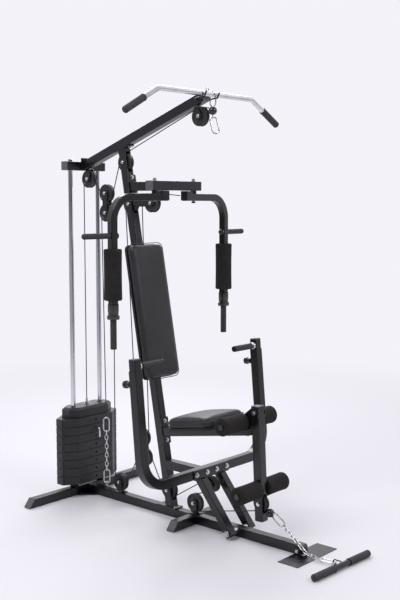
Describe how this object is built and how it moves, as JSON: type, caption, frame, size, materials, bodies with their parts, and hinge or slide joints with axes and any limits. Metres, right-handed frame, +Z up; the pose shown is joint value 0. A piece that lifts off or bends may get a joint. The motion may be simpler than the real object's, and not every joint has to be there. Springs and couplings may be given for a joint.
{
  "type": "multi station home gym",
  "caption": "Single-stack home gym with lat pulldown, swinging butterfly and press arms, leg lever, low row bar, padded seat and backrest, cables, pulleys and sliding weight plates",
  "frame": {"origin": "on the floor under the foot of the main upright, in the plane of symmetry", "axes": "+Z up, the user sits facing -Y, the weight stack is at +Y, +X is the user's left hand side"},
  "size_m": [1.1316, 1.7462, 2.0875],
  "materials": {
    "frame_black": "satin black powder coat",
    "chrome": "polished chrome plate",
    "zinc": "bright zinc plate",
    "steel_chain": "bright steel wire",
    "pad_vinyl": "smooth charcoal vinyl upholstery with a soft sheen",
    "pad_board": "dark stained board",
    "foam": "matte closed-cell foam",
    "grip_rubber": "ribbed dark grey rubber",
    "cap_grey": "matte grey moulded plastic",
    "wheel_black": "satin black nylon",
    "plate_vinyl": "satin black moulded vinyl shell",
    "bumper_rubber": "matte black rubber",
    "cable_black": "black nylon coated wire rope",
    "ball_black": "glossy black plastic"
  },
  "bodies": {
    "frame": {"base_beam": "frame_black", "rear_stabilizer": "frame_black", "front_stabilizer": "frame_black", "end_caps": "cap_grey", "foot_plate": "frame_black", "main_upright": "frame_black", "top_boom": "frame_black", "guide_rod_bracket": "frame_black", "guide_rods": "chrome", "rubber_bumpers": "bumper_rubber", "pec_crossbar": "frame_black", "pulley_brackets": "frame_black", "frame_bolts": "zinc", "seat_beam": "frame_black", "pad_boards": "pad_board", "seat_pad": "pad_vinyl", "back_pad": "pad_vinyl", "knee_roller_rod": "chrome", "weight_plates_lower": "plate_vinyl", "anchor_chain": "steel_chain", "top_cable": "cable_black", "lower_cables": "cable_black", "guide_pulleys": "wheel_black"},
    "carriage": {"head_plate": "plate_vinyl", "weight_plates_lifted": "plate_vinyl", "selector_stem": "zinc"},
    "selector_pin": {"selector_pin": "chrome"},
    "lat_end": {"lat_cable_end": "steel_chain"},
    "lat_bar": {"lat_bar": "chrome", "lat_grips": "grip_rubber"},
    "pec_right": {"pec_arm_right": "frame_black", "pec_pad_right": "foam", "pec_grips_right": "grip_rubber"},
    "pec_left": {"pec_arm_left": "frame_black", "pec_pad_left": "foam", "pec_grips_left": "grip_rubber"},
    "press_arm": {"press_yoke": "frame_black", "press_levers": "frame_black"},
    "post_right": {"press_post_right": "frame_black"},
    "post_left": {"press_post_left": "frame_black"},
    "knob_right": {"press_knob_right": "ball_black"},
    "knob_left": {"press_knob_left": "ball_black"},
    "leg_lever": {"leg_lever": "frame_black", "ankle_rod": "chrome"},
    "low_row": {"low_chain": "steel_chain", "low_bar": "frame_black", "low_grips": "grip_rubber"},
    "knee_right": {"knee_roller_right": "foam"},
    "knee_left": {"knee_roller_left": "foam"},
    "ankle_right": {"ankle_roller_right": "foam"},
    "ankle_left": {"ankle_roller_left": "foam"},
    "wheel_top_front": {"pulley_top_front": "wheel_black"},
    "wheel_junction": {"pulley_junction": "wheel_black"},
    "wheel_top_rear": {"pulley_top_rear": "wheel_black"},
    "wheel_press": {"pulley_press": "wheel_black"},
    "wheel_leg": {"pulley_leg": "wheel_black"},
    "block_upper": {"block_upper_plates": "frame_black", "block_upper_wheels": "wheel_black"},
    "block_lower": {"block_lower_plates": "frame_black", "block_lower_wheels": "wheel_black"}
  },
  "joints": [
    {"name": "lat_pull", "type": "slide", "parent": "frame", "child": "lat_end", "axis": [0, 0, -1], "range_m": [0, 0.85]},
    {"name": "weight_lift", "type": "slide", "parent": "frame", "child": "carriage", "axis": [0, 0, 1], "range_m": [0, 0.85], "deforming": ["top_cable"]},
    {"name": "selector_pin_pull", "type": "slide", "parent": "carriage", "child": "selector_pin", "axis": [0, -1, 0], "range_m": [0, 0.095]},
    {"name": "lat_bar_lift_off", "type": "slide", "parent": "frame", "child": "lat_bar", "axis": [0, 0, 1], "range_m": [0, 0.12]},
    {"name": "pec_right_swing", "type": "hinge", "parent": "frame", "child": "pec_right", "pos_m": [-0.1365, -0.0224, 1.582], "axis": [0, 0, 1], "range_deg": [0, 85]},
    {"name": "pec_left_swing", "type": "hinge", "parent": "frame", "child": "pec_left", "pos_m": [0.1365, -0.0224, 1.582], "axis": [0, 0, -1], "range_deg": [0, 85]},
    {"name": "press_arm_swing", "type": "hinge", "parent": "frame", "child": "press_arm", "pos_m": [0, -0.434, 0.0306], "axis": [1, 0, 0], "range_deg": [0, 35], "deforming": ["lower_cables"]},
    {"name": "post_right_height", "type": "slide", "parent": "press_arm", "child": "post_right", "axis": [0, 0.0913, 0.9958], "range_m": [0, 0.15]},
    {"name": "post_left_height", "type": "slide", "parent": "press_arm", "child": "post_left", "axis": [0, 0.0913, 0.9958], "range_m": [0, 0.15]},
    {"name": "knob_right_turn", "type": "hinge", "parent": "press_arm", "child": "knob_right", "pos_m": [-0.4335, -0.19071, 0.74902], "axis": [0, 0.9958, -0.0913], "continuous": true},
    {"name": "knob_left_turn", "type": "hinge", "parent": "press_arm", "child": "knob_left", "pos_m": [0.4335, -0.19071, 0.74902], "axis": [0, 0.9958, -0.0913], "continuous": true},
    {"name": "leg_lever_swing", "type": "hinge", "parent": "frame", "child": "leg_lever", "pos_m": [0, -0.536, 0.603], "axis": [-1, 0, 0], "range_deg": [0, 80]},
    {"name": "low_row_swing", "type": "hinge", "parent": "leg_lever", "child": "low_row", "pos_m": [0, -0.613, 0.147], "axis": [1, 0, 0], "range_deg": [0, 82]},
    {"name": "knee_right_roll", "type": "hinge", "parent": "frame", "child": "knee_right", "pos_m": [-0.107, -0.473, 0.555], "axis": [1, 0, 0], "continuous": true},
    {"name": "knee_left_roll", "type": "hinge", "parent": "frame", "child": "knee_left", "pos_m": [0.107, -0.473, 0.555], "axis": [1, 0, 0], "continuous": true},
    {"name": "ankle_right_roll", "type": "hinge", "parent": "leg_lever", "child": "ankle_right", "pos_m": [-0.097, -0.5575, 0.2507], "axis": [1, 0, 0], "continuous": true},
    {"name": "ankle_left_roll", "type": "hinge", "parent": "leg_lever", "child": "ankle_left", "pos_m": [0.097, -0.5575, 0.2507], "axis": [1, 0, 0], "continuous": true},
    {"name": "top_front_spin", "type": "hinge", "parent": "frame", "child": "wheel_top_front", "pos_m": [0, -0.19, 1.956], "axis": [1, 0, 0], "range_deg": [0, 1150]},
    {"name": "junction_spin", "type": "hinge", "parent": "frame", "child": "wheel_junction", "pos_m": [0, 0.31112, 1.757], "axis": [1, 0, 0], "range_deg": [0, 1150]},
    {"name": "top_rear_spin", "type": "hinge", "parent": "frame", "child": "wheel_top_rear", "pos_m": [0, 0.5852, 1.679], "axis": [1, 0, 0], "range_deg": [0, 1150]},
    {"name": "press_wheel_spin", "type": "hinge", "parent": "press_arm", "child": "wheel_press", "pos_m": [0, -0.268, 0.213], "axis": [1, 0, 0], "continuous": true},
    {"name": "leg_wheel_spin", "type": "hinge", "parent": "leg_lever", "child": "wheel_leg", "pos_m": [0, -0.562, 0.183], "axis": [1, 0, 0], "continuous": true},
    {"name": "block_upper_drop", "type": "slide", "parent": "frame", "child": "block_upper", "axis": [0, 0, -1], "range_m": [0, 0.16]},
    {"name": "block_lower_rise", "type": "slide", "parent": "frame", "child": "block_lower", "axis": [0, 0, 1], "range_m": [0, 0.08]}
  ],
  "couplings": [
    {"joint": "weight_lift", "follows": "lat_pull", "ratio": 1},
    {"joint": "top_front_spin", "follows": "lat_pull", "rad_per_m": 23.364},
    {"joint": "junction_spin", "follows": "lat_pull", "rad_per_m": 23.364},
    {"joint": "top_rear_spin", "follows": "lat_pull", "rad_per_m": 23.364},
    {"joint": "block_upper_drop", "follows": "press_arm_swing", "m_per_rad": 0.251},
    {"joint": "low_row_swing", "follows": "leg_lever_swing", "ratio": 1}
  ]
}
